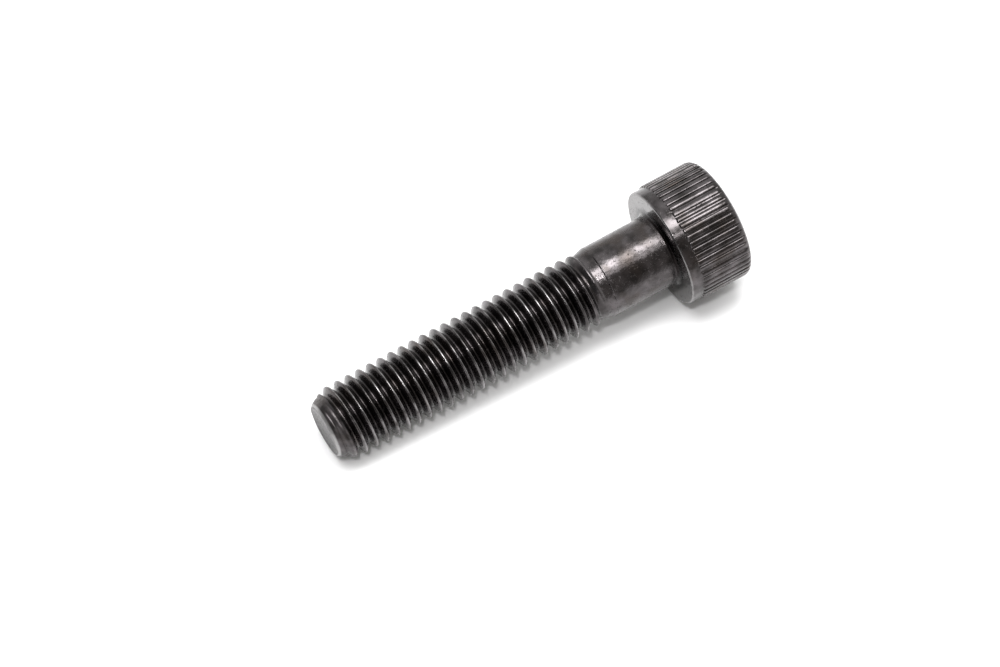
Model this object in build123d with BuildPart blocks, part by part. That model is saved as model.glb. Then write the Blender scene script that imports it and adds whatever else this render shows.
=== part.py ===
from build123d import *
import math
import os

# Hexagon socket head cap screw, M8 x 1.25 by 40 mm, lying as it comes to rest on a table:
# the first full thread crest and the lower edge of the knurled head touch the table.
# All distances along the screw are measured from its tip.

# Threaded end and shank
length = 40.0
thread_pitch = 1.25
thread_length = 28.0
crest_diameter = 7.89
blank_diameter = 7.2
shank_diameter = 7.81
tip_face_diameter = 5.8
tip_chamfer_angle = 30.0

# The thread fades over two and a half pitches, the last crest a little proud of the blank,
# and a short cone leads up to the shank
fade_length = 2.5 * thread_pitch
last_crest_height = 0.12
last_flank_length = 0.2 * thread_pitch
shank_cone_length = thread_pitch

# Head
head_diameter = 13.27
head_height = 7.75
top_face_diameter = 9.8
rim_radius = 0.85
rim_slope = 20.0
band_inset = 0.18
band_height = 1.2
bearing_edge_chamfer = 0.2
underhead_radius = 0.5

# Straight knurl of broad lands and narrow grooves
land_count = 56
groove_width = 0.3
groove_floor_width = 0.08
groove_floor_above_band = 0.02

# Hexagon socket
socket_sides = 6
socket_across_flats = 6.05
socket_wall_below = 3.3
socket_floor_cone = 0.3
socket_mouth_over_corners = 0.2
socket_mouth_angle = 30.0

# Derived sizes
crest_radius = crest_diameter / 2
blank_radius = blank_diameter / 2
shank_radius = shank_diameter / 2
tip_radius = tip_face_diameter / 2
head_radius = head_diameter / 2
band_radius = head_radius - band_inset
first_crest = (crest_radius - tip_radius) / math.tan(math.radians(tip_chamfer_angle))
fade_end = thread_length + fade_length
cone_start = fade_end + last_flank_length
knurl_start = length + band_height
knurl_edge = knurl_start + band_inset
head_top = length + head_height
top_face_radius = top_face_diameter / 2
rim_turn = 90 - rim_slope
rim_cone_radius = head_radius - rim_radius * (1 - math.cos(math.radians(rim_turn)))
rim_cone_fall = (rim_cone_radius - top_face_radius) * math.tan(math.radians(rim_slope))
rim_start = head_top - rim_cone_fall - rim_radius * math.sin(math.radians(rim_turn))
land_end_turn = math.degrees(math.acos(1 - band_inset / rim_radius))
socket_depth = head_height - socket_wall_below - socket_floor_cone
socket_inner_radius = socket_across_flats / 2
socket_half_side_angle = 180 / socket_sides
socket_corner_radius = socket_inner_radius / math.cos(math.radians(socket_half_side_angle))
socket_mouth_radius = socket_corner_radius + socket_mouth_over_corners

# Rest on the table: the axis leans so that the first crest and the knurl's edge both touch
# z = 0, and the middle of the screw's length stands over the origin
lean = math.atan2(head_radius - crest_radius, knurl_edge - first_crest)
tip_height = crest_radius * math.cos(lean) - first_crest * math.sin(lean)
tip_end_x = -tip_radius * math.sin(lean)
head_end_x = head_top * math.cos(lean) + top_face_radius * math.sin(lean)
tip_centre = Vector(-(tip_end_x + head_end_x) / 2, 0, tip_height)
along = Vector(math.cos(lean), 0, math.sin(lean))
upward = Vector(-math.sin(lean), 0, math.cos(lean))
screw_axis = Axis(tip_centre, along)

# Half section above the axis: across is the distance from the axis, up is the distance
# from the tip
section = Plane(origin=tip_centre, x_dir=upward, z_dir=(0, 1, 0))


def cross_plane(distance):
    """Plane square to the axis at a distance from the tip, its x pointing upward."""
    return Plane(origin=tip_centre + along * distance, x_dir=upward, z_dir=along)


with BuildPart() as bolt:
    # Turned body
    with BuildSketch(section):
        with BuildLine():
            Polyline(
                (0, 0),
                (tip_radius, 0),
                (crest_radius, first_crest),
                (crest_radius, thread_length),
                (blank_radius + last_crest_height, fade_end),
                (blank_radius, cone_start),
                (shank_radius, cone_start + shank_cone_length),
                (shank_radius, length),
                (band_radius - bearing_edge_chamfer, length),
                (band_radius, length + bearing_edge_chamfer),
                (band_radius, knurl_start),
                (head_radius, knurl_edge),
                (head_radius, rim_start),
            )
            rim = CenterArc(
                (head_radius - rim_radius, rim_start),
                rim_radius,
                start_angle=land_end_turn,
                arc_size=rim_turn - land_end_turn,
            )
            Line((head_radius, rim_start), rim @ 0)
            Polyline(rim @ 1, (top_face_radius, head_top), (0, head_top), (0, 0))
        make_face()
    revolve(axis=screw_axis)

    # Rounded root of the head
    bearing_plane_edges = bolt.edges().filter_by(GeomType.CIRCLE).filter_by_position(
        screw_axis, length - underhead_radius / 2, length + bearing_edge_chamfer / 2
    )
    fillet(bearing_plane_edges.sort_by(SortBy.RADIUS)[0], radius=underhead_radius)

    # Knurl grooves, open at the band and dying out where the lands run into the rounded rim
    groove_floor_radius = band_radius + groove_floor_above_band
    groove_depth = head_radius - groove_floor_radius
    cutter_width = 2 * groove_width - groove_floor_width
    with BuildSketch(cross_plane(knurl_start)):
        with PolarLocations(groove_floor_radius, land_count, start_angle=180 / land_count):
            Polygon(
                (0, -groove_floor_width / 2),
                (2 * groove_depth, -cutter_width / 2),
                (2 * groove_depth, cutter_width / 2),
                (0, groove_floor_width / 2),
                align=None,
            )
    extrude(amount=head_height, mode=Mode.SUBTRACT)

    # Hexagon socket, two corners upright, with a shallow cone in its floor
    with BuildSketch(cross_plane(head_top)):
        RegularPolygon(socket_inner_radius, socket_sides, major_radius=False)
    extrude(amount=-socket_depth, mode=Mode.SUBTRACT)
    socket_floor = head_top - socket_depth
    mouth_depth = (socket_mouth_radius - socket_inner_radius) * math.tan(
        math.radians(socket_mouth_angle)
    )
    with BuildSketch(section):
        with BuildLine():
            Polyline(
                (0, socket_floor - socket_floor_cone),
                (socket_inner_radius, socket_floor),
                (socket_inner_radius, head_top - mouth_depth),
                (socket_mouth_radius, head_top),
                (0, head_top),
                close=True,
            )
        make_face()
    revolve(axis=screw_axis, mode=Mode.SUBTRACT)

bolt.part.label = "bolt"

os.makedirs("parts", exist_ok=True)
export_step(bolt.part, "parts/bolt.step")
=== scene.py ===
"""Looks of a socket head cap screw with a knurled head, in black oxide steel, lying on a table.

The screw is one closed mesh: a threaded end with a chamfered tip, a plain shank and a knurled head
with a hexagon socket. Distances along the screw are in metres from its tip. Angles round the screw
start at its upper side and turn counter-clockwise as seen from beyond the head.
"""

import logging
import math
from dataclasses import dataclass, field
from enum import Enum

import bpy
import numpy as np
from mathutils import Euler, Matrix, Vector


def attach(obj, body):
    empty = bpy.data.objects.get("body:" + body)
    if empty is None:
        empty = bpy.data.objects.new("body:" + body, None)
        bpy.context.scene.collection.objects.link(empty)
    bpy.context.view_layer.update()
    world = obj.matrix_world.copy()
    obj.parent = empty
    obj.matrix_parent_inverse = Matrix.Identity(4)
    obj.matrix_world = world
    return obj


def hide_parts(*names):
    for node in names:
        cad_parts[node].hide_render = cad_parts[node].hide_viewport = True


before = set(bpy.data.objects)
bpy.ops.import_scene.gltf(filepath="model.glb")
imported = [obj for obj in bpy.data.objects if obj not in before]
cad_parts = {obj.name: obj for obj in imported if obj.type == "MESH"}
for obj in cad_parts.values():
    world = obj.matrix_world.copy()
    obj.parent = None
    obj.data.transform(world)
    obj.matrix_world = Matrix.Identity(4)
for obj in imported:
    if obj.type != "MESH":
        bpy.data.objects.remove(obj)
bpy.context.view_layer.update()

log = logging.getLogger("cap_screw")

Colour = tuple[float, float, float]
Span = tuple[float, float]
Size = float | np.ndarray
NodeValue = bpy.types.NodeSocket

MM = 0.001
NODE = "bolt"
BODY = "root"
FINISH_SLOT = "black_oxide_steel"
# How much the finer octaves of every noise show
NOISE_ROUGHNESS = 0.55


class Shading(Enum):
    """How the faces of a mesh are shaded."""

    SMOOTH = "smooth"
    FLAT = "flat"


class Easing(Enum):
    """How a value passes from one end of a range to the other."""

    LINEAR = "LINEAR"
    SMOOTH = "SMOOTHSTEP"


class VectorStep(Enum):
    """What a vector node works out."""

    DIFFERENCE = "SUBTRACT"
    CROSS_PRODUCT = "CROSS_PRODUCT"
    DOT_PRODUCT = "DOT_PRODUCT"
    LENGTH = "LENGTH"


def ring_angles(count: int) -> np.ndarray:
    """Evenly spaced angles round the screw, from its upper side."""
    return np.arange(count) * (2 * math.pi / count)


def add_object(
    name: str, mesh: bpy.types.Mesh, shading: Shading, sharp_angle: float = math.pi
) -> bpy.types.Object:
    """Put a mesh in the scene.

    Args:
        name: The object's name.
        mesh: Its mesh.
        shading: How its faces are shaded.
        sharp_angle: Where the shading is smooth, edges that turn by more than this stay sharp.

    Returns:
        The new object, linked to the scene.
    """
    if shading is Shading.SMOOTH:
        mesh.shade_smooth()
        mesh.set_sharp_from_angle(angle=sharp_angle)
    else:
        mesh.shade_flat()
    piece = bpy.data.objects.new(name, mesh)
    bpy.context.collection.objects.link(piece)
    return piece


@dataclass(frozen=True)
class ScrewAxis:
    """The screw's axis as it lies at rest, leaning up from the tip to the head."""

    tip: tuple[float, float, float] = (-23.8878 * MM, 0.0, 3.8132 * MM)
    lean: float = math.radians(3.8890)

    def direction(self) -> tuple[float, float, float]:
        """Unit vector from the tip towards the head."""
        return math.cos(self.lean), 0.0, math.sin(self.lean)

    def upward(self) -> tuple[float, float, float]:
        """Unit vector square to the axis, towards the screw's upper side."""
        return -math.sin(self.lean), 0.0, math.cos(self.lean)

    def place(self, radius: Size, angle: Size, distance: Size) -> np.ndarray:
        """Turn places round the axis into points of the frame.

        Args:
            radius: Distances from the axis.
            angle: Angles round the axis from its upper side, in radians.
            distance: Distances along the axis from the tip.

        Returns:
            The x, y and z of each place.
        """
        radius, angle, distance = np.broadcast_arrays(radius, angle, distance)
        sideways = np.array([0.0, -1.0, 0.0])
        return (
            np.array(self.tip)
            + (radius * np.cos(angle))[..., None] * np.array(self.upward())
            + (radius * np.sin(angle))[..., None] * sideways
            + distance[..., None] * np.array(self.direction())
        )


@dataclass
class TurnedMesh:
    """A mesh grown ring by ring along the screw, from the middle of its tip face."""

    axis: ScrewAxis
    points: list[np.ndarray] = field(default_factory=list)
    faces: list[tuple[int, ...]] = field(default_factory=list)
    count: int = 0

    def add(self, radius: Size, angle: Size, distance: Size) -> np.ndarray:
        """Add points; each argument is one number for all of them or a number for each.

        Args:
            radius: Distances from the axis.
            angle: Angles round the axis.
            distance: Distances along the axis from the tip.

        Returns:
            The numbers of the new points, in the shape of the arguments.
        """
        placed = self.axis.place(radius, angle, distance)
        flat = placed.reshape(-1, 3)
        numbers = np.arange(self.count, self.count + len(flat)).reshape(placed.shape[:-1])
        self.points.append(flat)
        self.count += len(flat)
        return numbers

    def face(self, *corners: int) -> None:
        """Add a face, dropping repeated corners, and the face too if too few are left.

        Args:
            corners: The numbers of its points.
        """
        kept = [int(c) for i, c in enumerate(corners) if c != corners[i - 1]]
        if len(set(kept)) >= 3:
            self.faces.append(tuple(kept))

    def strip(self, first: np.ndarray, second: np.ndarray) -> None:
        """Join two rings of as many points with quads.

        Args:
            first: The ring nearer the start of the mesh.
            second: The ring after it.
        """
        for j in range(len(first)):
            k = (j + 1) % len(first)
            self.face(first[j], first[k], second[k], second[j])

    def grow(self, last: np.ndarray, angles: np.ndarray, rings: list[tuple[Size, Size]]) -> np.ndarray:
        """Add rings one after another, each joined to the one before it.

        Args:
            last: The ring that they start from.
            angles: The angles of their points.
            rings: Their radii and distances from the tip.

        Returns:
            The last ring.
        """
        for radius, distance in rings:
            ring = self.add(radius, angles, distance)
            self.strip(last, ring)
            last = ring
        return last

    def bridge(self, first: np.ndarray, second: np.ndarray) -> None:
        """Join two rings that differ in their number of points with triangles.

        Args:
            first: The ring nearer the start of the mesh, from the screw's upper side.
            second: The ring after it, from the screw's upper side too.
        """
        i, j = 0, 0
        n, m = len(first), len(second)
        while i < n or j < m:
            if j >= m or (i < n and (i + 1) / n <= (j + 1) / m):
                self.face(first[i % n], first[(i + 1) % n], second[j % m])
                i += 1
            else:
                self.face(first[i % n], second[(j + 1) % m], second[j % m])
                j += 1

    def cap(self, ring: np.ndarray, distance: float, first: bool) -> None:
        """Close a ring with a fan round a point on the axis.

        Args:
            ring: The ring's points.
            distance: Where the middle point lies along the axis.
            first: True where the mesh starts here, False where it ends.
        """
        middle = int(self.add(np.zeros(1), np.zeros(1), distance)[0])
        for j in range(len(ring)):
            k = (j + 1) % len(ring)
            pair = (ring[k], ring[j]) if first else (ring[j], ring[k])
            self.face(middle, *pair)

    def finish(self, name: str, sharp_angle: float) -> bpy.types.Object:
        """Make the Blender object.

        Args:
            name: The object's name.
            sharp_angle: Edges that turn by more than this angle stay sharp.

        Returns:
            The new object, linked to the scene.
        """
        mesh = bpy.data.meshes.new(name)
        mesh.from_pydata(np.concatenate(self.points).tolist(), [], self.faces)
        mesh.validate()
        return add_object(name, mesh, Shading.SMOOTH, sharp_angle)


@dataclass
class ThreadedEnd:
    """The tip face, its chamfer and the rolled thread with its run-out."""

    pitch: float = 1.25 * MM
    crest_radius: float = 3.945 * MM
    pitch_radius: float = 3.55 * MM
    root_radius: float = 3.189 * MM
    root_rounding: float = 0.18 * MM
    flank_angle: float = math.radians(30.0)
    columns: int = 144
    # Offsets from a crest's middle and how far each lies below its top
    crest_shape: tuple[Span, ...] = (
        (0.0, 0.0),
        (0.035 * MM, 0.005 * MM),
        (0.07 * MM, 0.021 * MM),
        (0.11 * MM, 0.049 * MM),
    )
    flank_offsets: tuple[float, ...] = (0.2 * MM, 0.3 * MM, 0.452 * MM)
    # Offsets from the flank's end
    root_offsets: tuple[float, ...] = (0.03 * MM, 0.09 * MM)

    # The helix, given by one of its crests: its distance from the tip, and the angle there
    crest_on_top: float = 2.2153 * MM
    top_angle: float = math.radians(-61.6)
    # Turns laid out past the tip and past the shank
    spare_turns: tuple[int, int] = (2, 1)

    # Run-out: where crests and roots fade, and what is left of them there
    crest_fade: tuple[float, ...] = (29.5 * MM, 30.4 * MM, 31.2 * MM, 31.9 * MM)
    crest_left: tuple[float, ...] = (1.0, 0.85, 0.55, 0.0)
    root_fade: tuple[float, ...] = (28.8 * MM, 29.8 * MM, 30.7 * MM, 31.5 * MM)
    root_left: tuple[float, ...] = (1.0, 0.85, 0.35, 0.0)
    blank_radius: float = 3.6 * MM
    shank_radius: float = 3.905 * MM
    cone_start: float = 31.375 * MM
    end: float = 32.6 * MM
    # The fine groove before the shank; its first edge lies a lip lower, its second a lip higher
    groove_width: float = 0.14 * MM
    groove_depth: float = 0.07 * MM
    groove_lip: float = 0.01 * MM

    tip_radius: float = 2.9 * MM
    tip_start: float = 0.05 * MM
    tip_trim: float = 0.01 * MM
    # Height, number and phase of the waves in the cut tip's outline
    tip_waves: tuple[tuple[float, int, float], ...] = (
        (0.030 * MM, 3, 0.6),
        (0.022 * MM, 5, 2.1),
        (0.014 * MM, 11, 0.0),
    )
    chamfer_angle: float = math.radians(30.0)
    edge_rounding: float = 0.09 * MM
    edge_length: float = 0.26 * MM
    # Rings of the dished face: share of its radius, and depth
    face_dish: tuple[Span, ...] = (
        (0.2, 0.1 * MM),
        (0.45, 0.094 * MM),
        (0.65, 0.078 * MM),
        (0.8, 0.054 * MM),
        (0.9, 0.03 * MM),
        (0.965, 0.012 * MM),
        (0.988, 0.014 * MM),
    )
    face_middle: float = 0.102 * MM

    # The seam that rolling leaves along the first crests
    seam_depth: float = 0.09 * MM
    seam_width: float = 0.13 * MM
    seam_places: tuple[float, ...] = (0.4 * MM, 0.8 * MM, 1.6 * MM, 2.4 * MM)
    seam_shares: tuple[float, ...] = (0.0, 1.0, 0.7, 0.0)

    def profile(self) -> tuple[np.ndarray, np.ndarray]:
        """Points of one pitch of the full thread, from one crest to the next.

        Returns:
            Distances along the screw as shares of the pitch, and radii.
        """
        half = self.pitch / 2
        offsets = [offset for offset, _ in self.crest_shape]
        radii = [self.crest_radius - fall for _, fall in self.crest_shape]
        for offset in self.flank_offsets:
            offsets.append(offset)
            radii.append(self.pitch_radius + (self.pitch / 4 - offset) / math.tan(self.flank_angle))
        flank_end = half - self.root_rounding * math.cos(self.flank_angle)
        centre = self.root_radius + self.root_rounding
        for offset in (*(flank_end + step for step in self.root_offsets), half):
            offsets.append(offset)
            radii.append(centre - math.sqrt(self.root_rounding**2 - (half - offset) ** 2))
        offsets += [self.pitch - offset for offset in offsets[-2:0:-1]]
        radii += radii[-2:0:-1]
        return np.array(offsets) / self.pitch, np.array(radii)

    def lay_rows(self, angles: np.ndarray) -> tuple[np.ndarray, np.ndarray, np.ndarray]:
        """Lay out rows of points that follow the helix, past both ends of the thread.

        Args:
            angles: Angles of the points.

        Returns:
            For each row its number of pitches past the crest that gives the helix, and the full
            thread's radius on it; for each point its distance from the tip.
        """
        shares, radii = self.profile()
        before, after = self.spare_turns
        first_turn = math.floor((self.tip_start - self.crest_on_top) / self.pitch) - before
        last_turn = math.ceil((self.end - self.crest_on_top) / self.pitch) + after
        turns = np.arange(first_turn, last_turn + 1)
        rows = (turns[:, None] + shares).reshape(-1)
        lead = (angles - self.top_angle) / (2 * math.pi)
        distance = self.crest_on_top + self.pitch * (rows[:, None] + lead)
        return rows, np.tile(radii, len(turns)), distance

    def tip_outline(self, angles: np.ndarray) -> np.ndarray:
        """Radius of the cut tip's slightly wavy edge.

        Args:
            angles: Angles round the screw.

        Returns:
            A radius for each angle.
        """
        waves = sum(height * np.sin(number * angles + phase) for height, number, phase in self.tip_waves)
        return self.tip_radius + waves - self.tip_trim

    def blank(self, distance: np.ndarray) -> np.ndarray:
        """Radius that the thread fades to, rising in a cone to the groove before the shank.

        Args:
            distance: Distances from the tip.

        Returns:
            A radius for each distance.
        """
        groove_start, groove_middle = self.end - self.groove_width, self.end - self.groove_width / 2
        stops = self.cone_start, groove_start, groove_middle, self.end
        radii = (
            self.blank_radius,
            self.shank_radius - self.groove_lip,
            self.shank_radius - self.groove_depth,
            self.shank_radius + self.groove_lip,
        )
        return np.interp(distance, stops, radii)

    def thread(self, full_radius: np.ndarray, distance: np.ndarray) -> np.ndarray:
        """Radius of the thread with its run-out, before anything is cut from it.

        Args:
            full_radius: Radius of the full thread on each row.
            distance: Distances of the points from the tip.

        Returns:
            A radius for each point.
        """
        over = np.clip(full_radius - self.blank_radius, 0.0, None)[:, None]
        under = np.clip(self.blank_radius - full_radius, 0.0, None)[:, None]
        over = over * np.interp(distance, self.crest_fade, self.crest_left)
        under = under * np.interp(distance, self.root_fade, self.root_left)
        return self.blank(distance) + over - under

    def chamfer(self, outline: np.ndarray, distance: np.ndarray) -> np.ndarray:
        """Radius that the tip's chamfer and its rounded edge leave.

        Args:
            outline: Radius of the cut tip at each angle.
            distance: Distances of the points from the tip.

        Returns:
            A radius for each point.
        """
        past_face = distance - self.tip_start
        rounding = self.edge_rounding * np.clip(1.0 - past_face / self.edge_length, 0.0, 1.0) ** 2
        return outline + past_face * math.tan(self.chamfer_angle) - rounding

    def seam(self, rows: np.ndarray, distance: np.ndarray) -> np.ndarray:
        """Depth of the seam along the first crests.

        Args:
            rows: For each row its number of pitches past a crest.
            distance: Distances of the points from the tip.

        Returns:
            A depth for each point.
        """
        off_crest = np.minimum(rows % 1.0, 1.0 - rows % 1.0)[:, None] * self.pitch
        depth = self.seam_depth * np.exp(-((off_crest / self.seam_width) ** 2))
        return depth * np.interp(distance, self.seam_places, self.seam_shares)

    def build_face(self, mesh: TurnedMesh, rim: np.ndarray, angles: np.ndarray) -> np.ndarray:
        """Add the dished tip face to the mesh.

        Args:
            mesh: The mesh to grow.
            rim: Radius of the face's rim at each angle.
            angles: Angles round the screw.

        Returns:
            The last ring inside the rim.
        """
        rings = [(rim * share, depth) for share, depth in self.face_dish]
        first = mesh.add(rings[0][0], angles, rings[0][1])
        mesh.cap(first, self.face_middle, first=True)
        return mesh.grow(first, angles, rings[1:])

    def join_rows(self, mesh: TurnedMesh, numbers: np.ndarray) -> None:
        """Join the rows with quads, each row's end to the row that starts one turn further on.

        Args:
            mesh: The mesh to grow.
            numbers: The numbers of the points, row by row.
        """
        per_turn = len(self.profile()[0])
        for i in range(len(numbers) - 1):
            for j in range(self.columns):
                if j + 1 < self.columns:
                    near, far = numbers[i, j + 1], numbers[i + 1, j + 1]
                elif i + 1 + per_turn < len(numbers):
                    near, far = numbers[i + per_turn, 0], numbers[i + 1 + per_turn, 0]
                else:
                    continue
                mesh.face(numbers[i, j], near, far, numbers[i + 1, j])

    def build(self, mesh: TurnedMesh) -> np.ndarray:
        """Add the tip and the thread to the mesh.

        Args:
            mesh: The mesh to grow.

        Returns:
            The last ring, where the shank begins.
        """
        angles = ring_angles(self.columns)
        outline = self.tip_outline(angles)
        rim = outline - self.edge_rounding
        face = self.build_face(mesh, rim, angles)

        rows, full_radius, raw = self.lay_rows(angles)
        distance = np.clip(raw, self.tip_start, self.end)
        radius = np.minimum(self.thread(full_radius, distance), self.chamfer(outline, distance))
        numbers = mesh.add(radius - self.seam(rows, distance), angles, distance)
        low_ring = mesh.add(rim, angles, self.tip_start)
        high_ring = mesh.add(self.shank_radius + self.groove_lip, angles, self.end)

        # A row's points past either end give way to the ring that closes the thread there
        numbers = np.where(raw <= self.tip_start, low_ring, numbers)
        numbers = np.where(raw >= self.end, high_ring, numbers)
        mesh.strip(face, low_ring)
        self.join_rows(mesh, numbers)
        return high_ring


@dataclass
class Shank:
    """The plain shank and the rounded root of the head."""

    radius: float = 3.905 * MM
    start: float = 32.6 * MM
    head_start: float = 40.0 * MM
    lip: float = 0.01 * MM
    lip_width: float = 0.05 * MM
    # Rings near both ends that keep the shading of the shank even
    start_supports: tuple[float, ...] = (0.12 * MM, 0.25 * MM)
    end_support: float = 0.15 * MM
    root_rounding: float = 0.4 * MM
    # Places of the rings round it, in degrees
    root_turns: tuple[float, ...] = (15.0, 30.0, 45.0, 60.0, 75.0, 90.0)
    columns: int = 144

    def build(self, mesh: TurnedMesh, last: np.ndarray) -> np.ndarray:
        """Add the shank to the mesh.

        Args:
            mesh: The mesh to grow.
            last: The ring that it starts from.

        Returns:
            The last ring, on the bearing face.
        """
        root_start = self.head_start - self.root_rounding
        rings = [(self.radius + self.lip, self.start + self.lip_width)]
        rings += [(self.radius, self.start + support) for support in self.start_supports]
        rings += [(self.radius, root_start - self.end_support), (self.radius, root_start)]
        for turn in np.radians(self.root_turns):
            radius = self.radius + self.root_rounding * (1 - math.cos(turn))
            rings.append((radius, root_start + self.root_rounding * math.sin(turn)))
        return mesh.grow(last, ring_angles(self.columns), rings)


@dataclass
class Knurl:
    """The straight knurl: broad crowned lands between narrow grooves."""

    land_count: int = 56
    radius: float = 6.634 * MM
    band_inset: float = 0.18 * MM
    floor_above_band: float = 0.02 * MM
    groove_half: float = 0.09 * MM
    groove_floor_width: float = 0.12 * MM
    # Points of a land: two by their offset from the groove's edge, one by that from the land's middle
    edge_offsets: tuple[float, ...] = (0.032 * MM, 0.082 * MM)
    middle_offset: float = 0.1 * MM
    # Share of the way from a land's middle to its edge, and how far the crown has fallen there
    crown: tuple[Span, ...] = (
        (0.0, 0.0),
        (0.35, 0.0005 * MM),
        (0.71, 0.009 * MM),
        (0.89, 0.036 * MM),
        (1.0, 0.064 * MM),
    )
    # How much lands lean to one side, and how far the starts of grooves are off, at random
    lean_spread: float = 0.026 * MM
    lean_limit: float = 0.05 * MM
    start_spread: float = 0.02 * MM
    seed: int = 11
    leans: np.ndarray = field(init=False)
    starts: np.ndarray = field(init=False)

    def __post_init__(self) -> None:
        """Draw how each land leans and where each groove starts."""
        rng = np.random.default_rng(self.seed)
        leans = rng.normal(0.0, self.lean_spread, self.land_count)
        self.leans = np.clip(leans, -self.lean_limit, self.lean_limit)
        self.starts = rng.normal(0.0, self.start_spread, self.land_count)

    def half_cell(self) -> float:
        """Half the width of a land and its groove."""
        return math.pi / self.land_count * self.radius

    def places(self) -> np.ndarray:
        """Places of the eleven points across a groove and its land.

        Returns:
            Their offsets from the groove's middle.
        """
        floor = self.groove_floor_width / 2
        land = [self.groove_half, *(self.groove_half + offset for offset in self.edge_offsets)]
        land.append(self.half_cell() - self.middle_offset)
        return np.array([-x for x in land[::-1]] + [-floor, floor] + land + [self.half_cell()])

    def angles(self) -> np.ndarray:
        """Angles of the points round one ring, groove by groove."""
        centres = (np.arange(self.land_count) + 0.5) * (2 * math.pi / self.land_count)
        return (centres[:, None] + self.places() / self.radius).reshape(-1)

    def upper_point(self) -> int:
        """Number of the ring's point that lies nearest the screw's upper side."""
        turned = (self.angles() + math.pi) % (2 * math.pi) - math.pi
        return int(np.argmin(np.abs(turned)))

    def ring(self, mesh: TurnedMesh, land: float, floor: float, distance: Size) -> np.ndarray:
        """Add one ring of lands and grooves.

        Args:
            mesh: The mesh to grow.
            land: Radius of the lands' crowns.
            floor: Radius of the groove floors.
            distance: Distance from the tip, one for all or one for each groove.

        Returns:
            The ring's points.
        """
        places = self.places()
        half_cell = self.half_cell()
        off_middle = np.where(places < 0, places + half_cell, places - half_cell)
        off_middle = off_middle / (half_cell - self.groove_half)
        stops, falls = zip(*self.crown)
        fall = np.interp(np.abs(off_middle), stops, falls)
        share = np.clip((land - floor) / (self.band_inset - self.floor_above_band), 0.0, 1.0)
        lean = np.where(places < 0, np.roll(self.leans, 1)[:, None], self.leans[:, None])
        leaning = lean * off_middle - np.abs(lean) * np.abs(off_middle)
        on_floor = np.abs(places) < (self.groove_floor_width / 2 + self.groove_half) / 2
        radii = np.where(on_floor, min(land, floor), land - share * (fall - leaning))
        along = np.repeat(np.broadcast_to(distance, self.land_count), len(places))
        return mesh.add(radii.reshape(-1), self.angles(), along)


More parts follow.
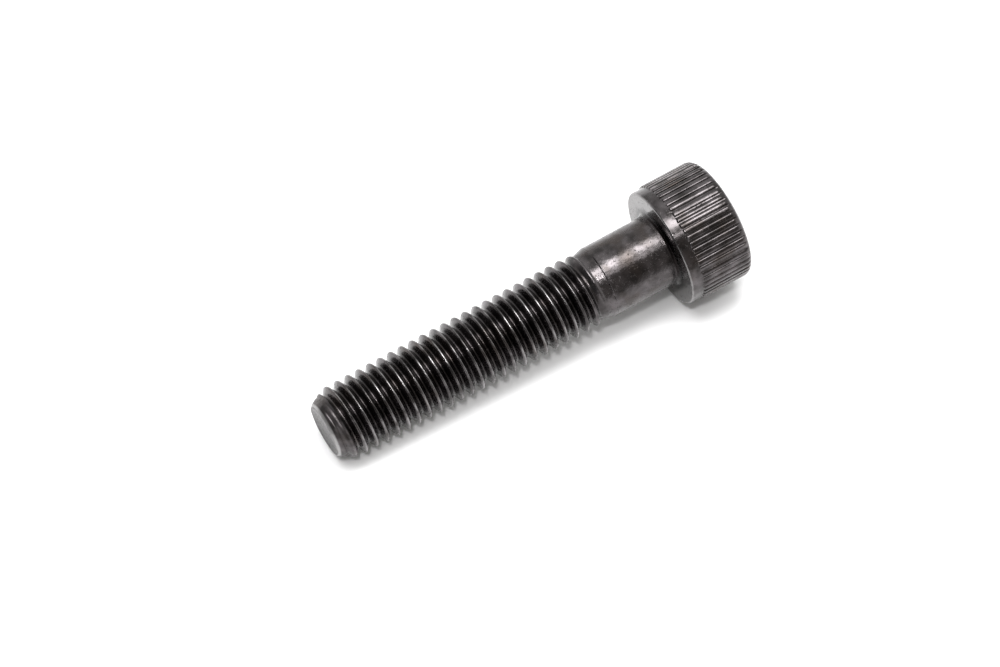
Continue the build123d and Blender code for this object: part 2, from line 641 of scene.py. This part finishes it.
@dataclass
class Head:
    """The head: bearing face, smooth band, knurl, rounded rim and top."""

    knurl: Knurl = field(default_factory=Knurl)
    start: float = 40.0 * MM
    height: float = 7.75 * MM
    bearing_radius: float = 4.7 * MM
    band_height: float = 1.2 * MM
    edge_rounding: float = 0.2 * MM
    # Places of the rings round it, in degrees
    edge_turns: tuple[float, ...] = (0.0, 20.0, 40.0, 60.0, 80.0, 90.0)
    # Rings that keep the shading of the bearing face and of the band even
    face_support: float = 0.05 * MM
    band_support: float = 0.08 * MM
    band_middle: float = 0.6
    # How the lands rise from the band: share of the inset along the screw, and share of the height
    land_rise: tuple[Span, ...] = ((0.3, 0.0), (0.55, 0.4), (0.8, 0.8), (1.0, 0.95), (1.5, 1.0))
    rim_radius: float = 0.85 * MM
    rim_slope: float = math.radians(20.0)
    rim_steps: int = 9
    top_radius: float = 4.9 * MM
    # Rings outside and inside the top's edge
    top_supports: Span = (0.1 * MM, 0.08 * MM)
    inner_radius: float = 4.6 * MM
    socket_columns: int = 240

    def plain_rings(self) -> list[Span]:
        """Lay out the plain rings, from the bearing face to the middle of the band.

        Returns:
            Their radii and distances from the tip.
        """
        band = self.knurl.radius - self.knurl.band_inset
        face_edge = band - self.edge_rounding
        rings = [(self.bearing_radius, self.start), (face_edge - self.face_support, self.start)]
        for turn in np.radians(self.edge_turns):
            radius = band - self.edge_rounding * (1 - math.sin(turn))
            rings.append((radius, self.start + self.edge_rounding * (1 - math.cos(turn))))
        rings.append((band, self.start + self.edge_rounding + self.band_support))
        rings.append((band, self.start + self.band_middle * self.band_height))
        return rings

    def knurl_rings(self, mesh: TurnedMesh) -> list[np.ndarray]:
        """Add the rings of lands and grooves, from the band to the end of the rim.

        Args:
            mesh: The mesh to grow.

        Returns:
            The points of each ring.
        """
        knurl = self.knurl
        band = knurl.radius - knurl.band_inset
        band_top = self.start + self.band_height
        rings = []
        for share, rise in self.land_rise:
            distance = band_top + knurl.band_inset * share + knurl.starts
            floor = band + knurl.floor_above_band * rise
            rings.append(knurl.ring(mesh, band + knurl.band_inset * rise, floor, distance))
        floor = band + knurl.floor_above_band
        rim_turn = math.pi / 2 - self.rim_slope
        cone_radius = knurl.radius - self.rim_radius * (1 - math.cos(rim_turn))
        cone_fall = (cone_radius - self.top_radius) * math.tan(self.rim_slope)
        rim_start = self.start + self.height - cone_fall - self.rim_radius * math.sin(rim_turn)
        for distance in ((band_top + rim_start) / 2, rim_start):
            rings.append(knurl.ring(mesh, knurl.radius, floor, distance))
        for turn in np.linspace(0.0, rim_turn, self.rim_steps + 1)[1:]:
            radius = knurl.radius - self.rim_radius * (1 - math.cos(turn))
            distance = rim_start + self.rim_radius * math.sin(turn)
            rings.append(knurl.ring(mesh, radius, min(floor, radius), distance))
        return rings

    def build(self, mesh: TurnedMesh, last: np.ndarray) -> np.ndarray:
        """Add the head to the mesh, up to the flat of its top.

        Args:
            mesh: The mesh to grow.
            last: The ring where the root of the head meets the bearing face.

        Returns:
            The last ring, on the flat top round the socket.
        """
        angles = self.knurl.angles()
        top = self.start + self.height
        outside, inside = self.top_supports
        rings = [mesh.add(radius, angles, distance) for radius, distance in self.plain_rings()]
        rings += self.knurl_rings(mesh)
        rings.append(mesh.add(self.top_radius + outside, angles, top - outside * math.tan(self.rim_slope)))
        rings.append(mesh.add(self.top_radius - inside, angles, top))
        turned = -self.knurl.upper_point()
        mesh.bridge(last, np.roll(rings[0], turned))
        for first, second in zip(rings, rings[1:]):
            mesh.strip(first, second)
        inner = mesh.add(self.inner_radius, ring_angles(self.socket_columns), top)
        mesh.bridge(np.roll(rings[-1], turned), inner)
        return inner


@dataclass
class HexagonSocket:
    """The hexagon socket with its chamfered mouth and coned floor."""

    top: float = 47.75 * MM
    flat_radius: float = 3.025 * MM
    depth: float = 4.15 * MM
    floor_cone: float = 0.3 * MM
    floor_share: float = 0.98
    mouth_over_corners: float = 0.2 * MM
    mouth_slope: float = math.radians(30.0)
    sides: int = 6
    columns: int = 240

    def outline(self) -> np.ndarray:
        """Lay out the hexagon, with two corners upright.

        Returns:
            Its radius at each angle.
        """
        side = 2 * math.pi / self.sides
        off = ring_angles(self.columns) % side - side / 2
        return self.flat_radius / np.cos(off)

    def build(self, mesh: TurnedMesh, last: np.ndarray) -> None:
        """Add the socket to the mesh and close it.

        Args:
            mesh: The mesh to grow.
            last: The ring on the head's top that it starts from.
        """
        hexagon = self.outline()
        mouth = self.flat_radius / math.cos(math.pi / self.sides) + self.mouth_over_corners
        floor = self.top - self.depth
        rings = [
            (mouth, self.top),
            (hexagon, self.top - (mouth - hexagon) * math.tan(self.mouth_slope)),
            (hexagon, floor + self.depth / 2),
            (hexagon, floor),
            (self.flat_radius * self.floor_share, floor),
            (self.flat_radius / 2, floor - self.floor_cone / 2),
        ]
        last = mesh.grow(last, ring_angles(self.columns), rings)
        mesh.cap(last, floor - self.floor_cone, first=False)


@dataclass(frozen=True)
class Nodes:
    """A short way to lay out shader nodes."""

    tree: bpy.types.NodeTree

    def add(self, kind: str, inputs: dict | None = None, **settings: object) -> bpy.types.Node:
        """Add a node.

        Args:
            kind: The node's type name.
            inputs: Values of its sockets, by name or number; a socket of another node is linked.
            settings: The node's own settings.

        Returns:
            The new node.
        """
        node = self.tree.nodes.new(kind)
        for key, value in settings.items():
            setattr(node, key, value)
        for key, value in (inputs or {}).items():
            if isinstance(value, bpy.types.NodeSocket):
                self.tree.links.new(value, node.inputs[key])
            else:
                node.inputs[key].default_value = value
        return node

    def sum(self, first: NodeValue, second: NodeValue) -> NodeValue:
        """Add two values."""
        return self.add("ShaderNodeMath", {0: first, 1: second}, operation="ADD").outputs[0]

    def product(self, first: NodeValue, second: NodeValue) -> NodeValue:
        """Multiply two values."""
        return self.add("ShaderNodeMath", {0: first, 1: second}, operation="MULTIPLY").outputs[0]

    def greatest(self, first: NodeValue, second: NodeValue) -> NodeValue:
        """Take the greater of two values."""
        return self.add("ShaderNodeMath", {0: first, 1: second}, operation="MAXIMUM").outputs[0]

    def vector(self, step: VectorStep, *inputs: object) -> NodeValue:
        """Work with one or two vectors.

        Args:
            step: What is worked out.
            inputs: The vectors.

        Returns:
            A number for a dot product or a length, and otherwise a vector.
        """
        node = self.add("ShaderNodeVectorMath", dict(enumerate(inputs)), operation=step.value)
        gives_number = step in (VectorStep.DOT_PRODUCT, VectorStep.LENGTH)
        return node.outputs["Value" if gives_number else "Vector"]

    def span(
        self, value: NodeValue, source: Span, target: Span, easing: Easing = Easing.LINEAR
    ) -> NodeValue:
        """Carry a value from one range to another, held at its ends.

        Args:
            value: The value.
            source: The range that it comes from.
            target: The range that it goes to.
            easing: How it passes from end to end.

        Returns:
            The carried value.
        """
        inputs = {0: value, 1: source[0], 2: source[1], 3: target[0], 4: target[1]}
        return self.add("ShaderNodeMapRange", inputs, interpolation_type=easing.value).outputs[0]

    def rise(self, value: NodeValue, source: Span, share: float = 1.0) -> NodeValue:
        """A share that comes up from none as the value passes through a range."""
        return self.span(value, source, (0.0, share))

    def fall(self, value: NodeValue, source: Span, share: float = 1.0) -> NodeValue:
        """A share that goes down to none as the value passes through a range."""
        return self.span(value, source, (share, 0.0))

    def noise(self, where: NodeValue, scale: float, detail: float) -> NodeValue:
        """Add a noise texture.

        Args:
            where: Coordinates in metres.
            scale: Number of its grains in a metre.
            detail: Octaves of finer noise in it.

        Returns:
            The noise, near one half.
        """
        inputs = {"Vector": where, "Scale": scale, "Detail": detail, "Roughness": NOISE_ROUGHNESS}
        return self.add("ShaderNodeTexNoise", inputs).outputs["Fac"]

    def ramp(self, factor: NodeValue, source: Span, low: Colour, high: Colour) -> NodeValue:
        """Carry a value to a colour between two.

        Args:
            factor: The value.
            source: The range over which the colour changes.
            low: The colour at the start of the range.
            high: The colour at its end.

        Returns:
            The colour.
        """
        node = self.add("ShaderNodeValToRGB", {0: factor})
        for element, position, colour in zip(node.color_ramp.elements, source, (low, high)):
            element.position = position
            element.color = (*colour, 1.0)
        return node.outputs["Color"]

    def mixed(self, share: NodeValue, first: object, colour: Colour) -> NodeValue:
        """Mix a fixed colour into a colour.

        Args:
            share: Share of the fixed colour.
            first: The colour that it goes into.
            colour: The fixed colour.

        Returns:
            The mixed colour.
        """
        inputs = {0: share, 6: first, 7: (*colour, 1.0)}
        return self.add("ShaderNodeMix", inputs, data_type="RGBA").outputs[2]

    def bump(self, height: NodeValue, distance: object, **lower: NodeValue) -> NodeValue:
        """Add small bumps.

        Args:
            height: Their pattern.
            distance: Their height in metres.
            lower: The bumps that they lie on, as Normal.

        Returns:
            The bumpy normal.
        """
        inputs = {"Strength": 1.0, "Distance": distance, "Height": height, **lower}
        return self.add("ShaderNodeBump", inputs).outputs[0]

    def surface(self, inputs: dict) -> None:
        """Make the surface from one principled shader.

        Args:
            inputs: Values of the shader's sockets.
        """
        shader = self.add("ShaderNodeBsdfPrincipled", inputs)
        self.add("ShaderNodeOutputMaterial", {"Surface": shader.outputs[0]})


def empty_material(name: str) -> bpy.types.Material:
    """Add a material that has no nodes yet.

    Args:
        name: The material's name.

    Returns:
        The new material.
    """
    material = bpy.data.materials.new(name)
    material.use_nodes = True
    material.node_tree.nodes.clear()
    return material


@dataclass(frozen=True)
class SteelPlace:
    """What the steel's finish depends on at a place of the screw, as node values."""

    from_tip: NodeValue
    along: NodeValue
    radius: NodeValue
    mottle: NodeValue
    grain: NodeValue
    cloud: NodeValue
    patches: NodeValue
    specks: NodeValue
    thread: NodeValue
    bearing: NodeValue


@dataclass(frozen=True)
class BlackOxideSteel:
    """Black oxide on steel under a thin film of oil: dark, glossy and finely uneven."""

    dark: Colour = (0.037, 0.0338, 0.0334)
    light: Colour = (0.104, 0.0948, 0.0975)
    brown: Colour = (0.060, 0.0505, 0.0465)
    even: Colour = (0.068, 0.062, 0.0625)
    # Painted shade: darkens the lower side of the tip face, the thread's grooves and the crease at the
    # head's root
    painted_shade: Colour = (0.012, 0.010, 0.010)
    bearing_light: Colour = (0.132, 0.125, 0.125)
    worn: Colour = (0.34, 0.335, 0.335)

    # Octaves of the noises, their grains in a metre, and the parts of their range that are used
    mottle_detail: float = 3.0
    noise_detail: float = 2.0
    speck_detail: float = 1.0
    mottle_scale: float = 1800.0
    grain_scale: float = 6000.0
    cloud_scale: float = 600.0
    patch_scale: float = 330.0
    speck_scale: float = 4200.0
    grain_range: Span = (0.3, 0.7)
    cloud_range: Span = (0.35, 0.65)
    patch_range: Span = (0.5, 0.68)
    speck_range: Span = (0.60, 0.70)
    bearing_wear_range: Span = (0.35, 0.5)
    crest_wear_range: Span = (0.42, 0.6)

    # Roughness all over, and what places add to it
    roughness: Span = (0.16, 0.27)
    speck_roughness: float = 0.3
    sheared_roughness: float = 0.16
    chamfer_roughness: float = 0.17
    turned_roughness: float = 0.01
    head_polish: float = -0.07

    # Heights of the bumps in metres, and how much smoother the head is
    mottle_height: float = 0.000028
    thread_mottle_height: float = 0.000006
    grain_height: float = 0.000002
    head_smoothness: float = 0.75

    # Shares of each colour at its fullest
    brown_share: float = 0.8
    even_share: float = 0.6
    # Painted shade on the lower side of the tip face
    face_shade_share: float = 0.8
    # Painted shade deep in the thread's grooves
    groove_shade_share: float = 0.62
    bearing_share: float = 0.8
    tip_edge_share: float = 0.85
    crest_shares: Span = (0.04, 0.46)
    bearing_edge_shares: Span = (0.18, 0.36)

    # Distances from the tip over which a finish or a painted shade starts or ends
    face_ends: Span = (0.1 * MM, 0.14 * MM)
    sheared_ends: Span = (0.1 * MM, 0.16 * MM)
    tip_edge_ends: Span = (0.22 * MM, 0.34 * MM)
    chamfer_ends: Span = (1.3 * MM, 2.1 * MM)
    rolled_starts: Span = (1.4 * MM, 1.9 * MM)
    grooves_start: Span = (2.0 * MM, 2.6 * MM)
    thread_ends: Span = (30.8 * MM, 31.4 * MM)
    cone_starts: Span = (31.3 * MM, 31.6 * MM)
    cone_ends: Span = (32.5 * MM, 32.62 * MM)
    # Where the painted shade in the crease at the head's root starts and ends
    root_starts: Span = (39.55 * MM, 39.75 * MM)
    root_ends: Span = (40.02 * MM, 40.05 * MM)
    polish_starts: Span = (39.9 * MM, 39.97 * MM)
    bearing_starts: Span = (39.93 * MM, 39.97 * MM)
    bearing_ends: Span = (40.03 * MM, 40.06 * MM)
    head_starts: Span = (40.1 * MM, 40.2 * MM)
    bearing_edge_ends: Span = (40.11 * MM, 40.17 * MM)
    top_starts: Span = (46.9 * MM, 47.4 * MM)

    # Distances from the axis over which a finish or a painted shade starts or ends
    face_rim: Span = (2.6 * MM, 2.75 * MM)
    tip_edge: Span = (2.70 * MM, 2.80 * MM)
    groove_flanks: Span = (3.3 * MM, 3.8 * MM)
    crest_tops: Span = (3.915 * MM, 3.935 * MM)
    root_rim: Span = (4.5 * MM, 4.9 * MM)
    bearing_edge: Span = (6.27 * MM, 6.33 * MM)

    # The tip face's painted shade, darker on its lower side: how far below the axis its middle lies, and
    # where it thins out
    face_shade_drop: float = 2.5 * MM
    face_shade_fades: Span = (2.2 * MM, 5.2 * MM)

    def find_place(self, n: Nodes, axis: ScrewAxis) -> SteelPlace:
        """Lay out what the finish depends on.

        Args:
            n: The material's nodes.
            axis: The screw's axis.

        Returns:
            The place and its noises.
        """
        where = n.add("ShaderNodeTexCoord").outputs["Object"]
        from_tip = n.vector(VectorStep.DIFFERENCE, where, axis.tip)
        along = n.vector(VectorStep.DOT_PRODUCT, from_tip, axis.direction())
        across = n.vector(VectorStep.CROSS_PRODUCT, from_tip, axis.direction())
        return SteelPlace(
            from_tip=from_tip,
            along=along,
            radius=n.vector(VectorStep.LENGTH, across),
            mottle=n.noise(where, self.mottle_scale, self.mottle_detail),
            grain=n.noise(where, self.grain_scale, self.noise_detail),
            cloud=n.noise(where, self.cloud_scale, self.noise_detail),
            patches=n.noise(where, self.patch_scale, self.noise_detail),
            specks=n.noise(where, self.speck_scale, self.speck_detail),
            thread=n.fall(along, self.thread_ends),
            bearing=n.product(n.rise(along, self.bearing_starts), n.fall(along, self.bearing_ends)),
        )

    def lay_roughness(self, n: Nodes, at: SteelPlace) -> NodeValue:
        """Work out the roughness.

        Args:
            n: The material's nodes.
            at: The place and its noises.

        Returns:
            The roughness.
        """
        turned = n.rise(at.along, self.cone_starts, self.turned_roughness)
        sheared = n.span(at.along, self.sheared_ends, (self.sheared_roughness, self.chamfer_roughness))
        rough = n.span(at.grain, self.grain_range, self.roughness)
        for change in (
            n.rise(at.specks, self.speck_range, self.speck_roughness),
            n.product(turned, n.fall(at.along, self.cone_ends)),
            n.product(sheared, n.fall(at.along, self.chamfer_ends)),
            n.rise(at.along, self.polish_starts, self.head_polish),
        ):
            rough = n.sum(rough, change)
        return rough

    def find_wear(self, n: Nodes, at: SteelPlace) -> NodeValue:
        """Find where oxide is worn off: the bearing face's edge, the tip's edge and the crests.

        Args:
            n: The material's nodes.
            at: The place and its noises.

        Returns:
            Share of worn steel.
        """
        bearing = n.product(n.rise(at.radius, self.bearing_edge), n.fall(at.along, self.bearing_edge_ends))
        bearing = n.product(bearing, n.span(at.mottle, self.bearing_wear_range, self.bearing_edge_shares))
        tip = n.rise(at.radius, self.tip_edge, self.tip_edge_share)
        tip = n.product(tip, n.fall(at.along, self.tip_edge_ends))
        crests = n.product(n.rise(at.radius, self.crest_tops), at.thread)
        crests = n.product(crests, n.span(at.cloud, self.crest_wear_range, self.crest_shares))
        return n.greatest(n.greatest(bearing, tip), crests)

    def find_painted_shade(self, n: Nodes, at: SteelPlace, axis: ScrewAxis) -> NodeValue:
        """Find where shade is painted: on the lower side of the tip face, deep in the thread's grooves and
        in the crease at the head's root.

        Args:
            n: The material's nodes.
            at: The place and its noises.
            axis: The screw's axis.

        Returns:
            Share of painted shade.
        """
        middle = tuple(-self.face_shade_drop * part for part in axis.upward())
        from_middle = n.vector(VectorStep.LENGTH, n.vector(VectorStep.DIFFERENCE, at.from_tip, middle))
        on_face = n.product(n.fall(at.along, self.face_ends), n.fall(at.radius, self.face_rim))
        # Painted shade: the tip face darker towards its lower side, nearer the table
        face_shade = n.product(n.fall(from_middle, self.face_shade_fades, self.face_shade_share), on_face)
        # Painted shade in the crease where the shank's rounded root meets the bearing face
        root = n.product(n.rise(at.along, self.root_starts), n.fall(at.radius, self.root_rim))
        root = n.product(root, n.fall(at.along, self.root_ends))
        # Painted shade on the thread's flanks and roots, darker deeper in the grooves
        grooves = n.product(n.fall(at.radius, self.groove_flanks, self.groove_shade_share), at.thread)
        grooves = n.product(grooves, n.rise(at.along, self.grooves_start))
        return n.greatest(face_shade, n.greatest(root, grooves))

    def lay_colour(self, n: Nodes, at: SteelPlace, axis: ScrewAxis) -> NodeValue:
        """Work out the colour.

        Args:
            n: The material's nodes.
            at: The place and its noises.
            axis: The screw's axis.

        Returns:
            The colour.
        """
        bearing = n.product(at.bearing, n.rise(at.radius, self.root_rim, self.bearing_share))
        colour = n.ramp(at.cloud, self.cloud_range, self.dark, self.light)
        for share, added in (
            (n.rise(at.patches, self.patch_range, self.brown_share), self.brown),
            (n.rise(at.along, self.top_starts, self.even_share), self.even),
            # Painted shade on the tip face, in the thread's grooves and at the head's root
            (self.find_painted_shade(n, at, axis), self.painted_shade),
            (bearing, self.bearing_light),
            (self.find_wear(n, at), self.worn),
        ):
            colour = n.mixed(share, colour, added)
        return colour

    def lay_bumps(self, n: Nodes, at: SteelPlace) -> NodeValue:
        """Work out the small bumps, lower on the thread, the bearing face and the head.

        Args:
            n: The material's nodes.
            at: The place and its noises.

        Returns:
            The bumpy normal.
        """
        rolled = n.product(at.thread, n.rise(at.along, self.rolled_starts))
        head = n.rise(at.along, self.head_starts, self.head_smoothness)
        smooth = n.greatest(head, n.greatest(rolled, at.bearing))
        height = n.span(smooth, (0.0, 1.0), (self.mottle_height, self.thread_mottle_height))
        return n.bump(at.mottle, height, Normal=n.bump(at.grain, self.grain_height))

    def make(self, axis: ScrewAxis) -> bpy.types.Material:
        """Build the material.

        Args:
            axis: The screw's axis, for the finish that differs along the screw.

        Returns:
            The material.
        """
        material = empty_material(FINISH_SLOT)
        n = Nodes(material.node_tree)
        at = self.find_place(n, axis)
        n.surface(
            {
                "Base Color": self.lay_colour(n, at, axis),
                "Metallic": 1.0,
                "Roughness": self.lay_roughness(n, at),
                "Normal": self.lay_bumps(n, at),
            }
        )
        return material


@dataclass(frozen=True)
class PaleTable:
    """Pale, faintly glossy table top."""

    colour: Colour = (0.90, 0.90, 0.905)
    shade: float = 0.012
    cloud_scale: float = 30.0
    cloud_detail: float = 2.0
    colour_range: Span = (0.35, 0.65)
    roughness_range: Span = (0.3, 0.7)
    roughness: Span = (0.34, 0.4)
    gloss: float = 0.35

    def make(self) -> bpy.types.Material:
        """Build the material.

        Returns:
            The material.
        """
        material = empty_material("pale_table")
        n = Nodes(material.node_tree)
        where = n.add("ShaderNodeTexCoord").outputs["Object"]
        cloud = n.noise(where, self.cloud_scale, self.cloud_detail)
        lower = tuple(part - self.shade for part in self.colour)
        n.surface(
            {
                "Base Color": n.ramp(cloud, self.colour_range, lower, self.colour),
                "Roughness": n.span(cloud, self.roughness_range, self.roughness),
                "Specular IOR Level": self.gloss,
            }
        )
        return material


@dataclass
class CapScrew:
    """The whole screw: its parts in order along the axis, and its finish."""

    axis: ScrewAxis = field(default_factory=ScrewAxis)
    threaded_end: ThreadedEnd = field(default_factory=ThreadedEnd)
    shank: Shank = field(default_factory=Shank)
    head: Head = field(default_factory=Head)
    socket: HexagonSocket = field(default_factory=HexagonSocket)
    sharp_angle: float = math.radians(32.0)

    def build(self) -> bpy.types.Object:
        """Build the screw's closed mesh.

        Returns:
            The screw's object.
        """
        mesh = TurnedMesh(self.axis)
        ring = self.threaded_end.build(mesh)
        ring = self.shank.build(mesh, ring)
        ring = self.head.build(mesh, ring)
        self.socket.build(mesh, ring)
        return mesh.finish("cap_screw", self.sharp_angle)

    def dress(self, piece: bpy.types.Object) -> None:
        """Give the screw its finish and its place in the frame.

        Args:
            piece: The screw's object.
        """
        piece.data.materials.append(BlackOxideSteel().make(self.axis))
        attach(piece, BODY)
        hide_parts(NODE)


@dataclass(frozen=True)
class SoftBox:
    """A soft box overhead that faces the screw, brightest along its middle line."""

    name: str
    # Its lean from overhead in degrees, towards -Y and towards +X
    across: float
    along: float
    # Length along the screw and width across it
    size: Span
    watts: float
    # Share of its width that has full strength; from there it falls to the edges
    core: float
    distance: float = 0.7

    def build(self) -> bpy.types.Object:
        """Add the light.

        Returns:
            The light's object.
        """
        data = bpy.data.lights.new(self.name, "AREA")
        data.shape = "RECTANGLE"
        data.size, data.size_y = self.size
        data.energy = self.watts
        light = bpy.data.objects.new(self.name, data)
        turn = Euler((math.radians(self.across), math.radians(self.along), 0.0))
        light.rotation_euler = turn
        light.location = turn.to_matrix() @ Vector((0.0, 0.0, self.distance))
        bpy.context.collection.objects.link(light)
        self.soften(data, turn.to_matrix() @ Vector((0.0, 2.0 / self.size[1], 0.0)))
        return light

    def soften(self, data: bpy.types.Light, across: Vector) -> None:
        """Let the light fall from its middle line to its edges.

        Args:
            data: The light.
            across: The vector along its width whose dot product with a place at its edge is one.
        """
        data.use_nodes = True
        n = Nodes(data.node_tree)
        place = n.add("ShaderNodeNewGeometry").outputs["Position"]
        offset = n.vector(VectorStep.DOT_PRODUCT, place, across)
        off_middle = n.add("ShaderNodeMath", {0: offset}, operation="ABSOLUTE").outputs[0]
        strength = n.span(off_middle, (self.core, 1.0), (1.0, 0.0), Easing.SMOOTH)
        n.tree.links.new(strength, n.tree.nodes["Emission"].inputs["Strength"])


@dataclass(frozen=True)
class DimSide:
    """A side of the room that gives less light."""

    light: Colour
    direction: tuple[float, float, float]
    # Closeness to that direction, as a cosine, where the dimming starts and where it is full
    reach: Span

    def dim(self, n: Nodes, towards: NodeValue, room: object) -> NodeValue:
        """Dim this side of the room.

        Args:
            n: The world's nodes.
            towards: The direction of the light.
            room: The room's light before it.

        Returns:
            The room's light after it.
        """
        closeness = n.vector(VectorStep.DOT_PRODUCT, towards, self.direction)
        return n.mixed(n.span(closeness, self.reach, (0.0, 1.0), Easing.SMOOTH), room, self.light)


@dataclass
class Studio:
    """Table, camera and light."""

    table_size: float = 6.0
    camera_place: tuple[float, float, float] = (-105.2829 * MM, -172.5587 * MM, 325.2883 * MM)
    camera_forward: tuple[float, float, float] = (0.270515, 0.457312, -0.847164)
    focal_length: float = 132.763
    sensor_width: float = 36.0
    camera_reach: Span = (0.01, 20.0)
    room_light: Colour = (1.19, 1.195, 1.185)
    # Behind the camera, and beyond the screw's tip
    dim_sides: tuple[DimSide, ...] = (
        DimSide((0.39, 0.372, 0.352), (-0.21, -0.748, 0.628), (0.45, 0.85)),
        DimSide((0.22, 0.22, 0.22), (-0.866, 0.0, 0.5), (0.52, 0.85)),
    )
    soft_boxes: tuple[SoftBox, ...] = (
        SoftBox("key_box", -2.0, -2.0, (0.65, 0.46), 10.0, 0.1),
        SoftBox("side_strip", 20.0, -2.0, (0.65, 0.07), 0.85, 0.5),
        SoftBox("near_lamp", 17.0, -15.0, (0.045, 0.045), 1.05, 0.8),
    )

    def build_table(self) -> bpy.types.Object:
        """Build the table top, level with the lowest point of the screw.

        Returns:
            The table's object.
        """
        half = self.table_size / 2
        corners = [(-half, -half, 0.0), (half, -half, 0.0), (half, half, 0.0), (-half, half, 0.0)]
        mesh = bpy.data.meshes.new("table_top")
        mesh.from_pydata(corners, [], [(0, 1, 2, 3)])
        mesh.materials.append(PaleTable().make())
        table = add_object("table_top", mesh, Shading.FLAT)
        return table

    def build_camera(self) -> bpy.types.Object:
        """Place the camera where the photograph was taken from.

        Returns:
            The camera's object.
        """
        data = bpy.data.cameras.new("camera")
        data.sensor_width = self.sensor_width
        data.lens = self.focal_length
        data.clip_start, data.clip_end = self.camera_reach
        camera = bpy.data.objects.new("camera", data)
        camera.location = self.camera_place
        camera.rotation_euler = Vector(self.camera_forward).to_track_quat("-Z", "Y").to_euler()
        bpy.context.collection.objects.link(camera)
        bpy.context.scene.camera = camera
        return camera

    def build_room(self) -> None:
        """Build the room's even light with its two dim sides."""
        world = bpy.data.worlds.new("studio")
        bpy.context.scene.world = world
        world.use_nodes = True
        n = Nodes(world.node_tree)
        towards = n.add("ShaderNodeTexCoord").outputs["Generated"]
        light = (*self.room_light, 1.0)
        for side in self.dim_sides:
            light = side.dim(n, towards, light)
        background = n.tree.nodes["Background"]
        n.tree.links.new(light, background.inputs["Color"])
        background.inputs["Strength"].default_value = 1.0

    def build(self) -> None:
        """Build everything round the screw and report each piece."""
        table = self.build_table()
        camera = self.build_camera()
        self.build_room()
        boxes = [box.build() for box in self.soft_boxes]
        for piece in (table, camera, *boxes):
            log.info("%s", piece.name)
        bpy.context.scene.view_settings.view_transform = "Standard"


def main() -> None:
    """Build the screw, dress it and set the studio round it."""
    logging.basicConfig(level=logging.INFO, format="%(name)s: %(message)s")
    screw = CapScrew()
    piece = screw.build()
    screw.dress(piece)
    triangles = sum(len(face.vertices) - 2 for face in piece.data.polygons)
    log.info("%s: %d points, %d triangles", piece.name, len(piece.data.vertices), triangles)
    Studio().build()


if __name__ == "__main__":
    main()
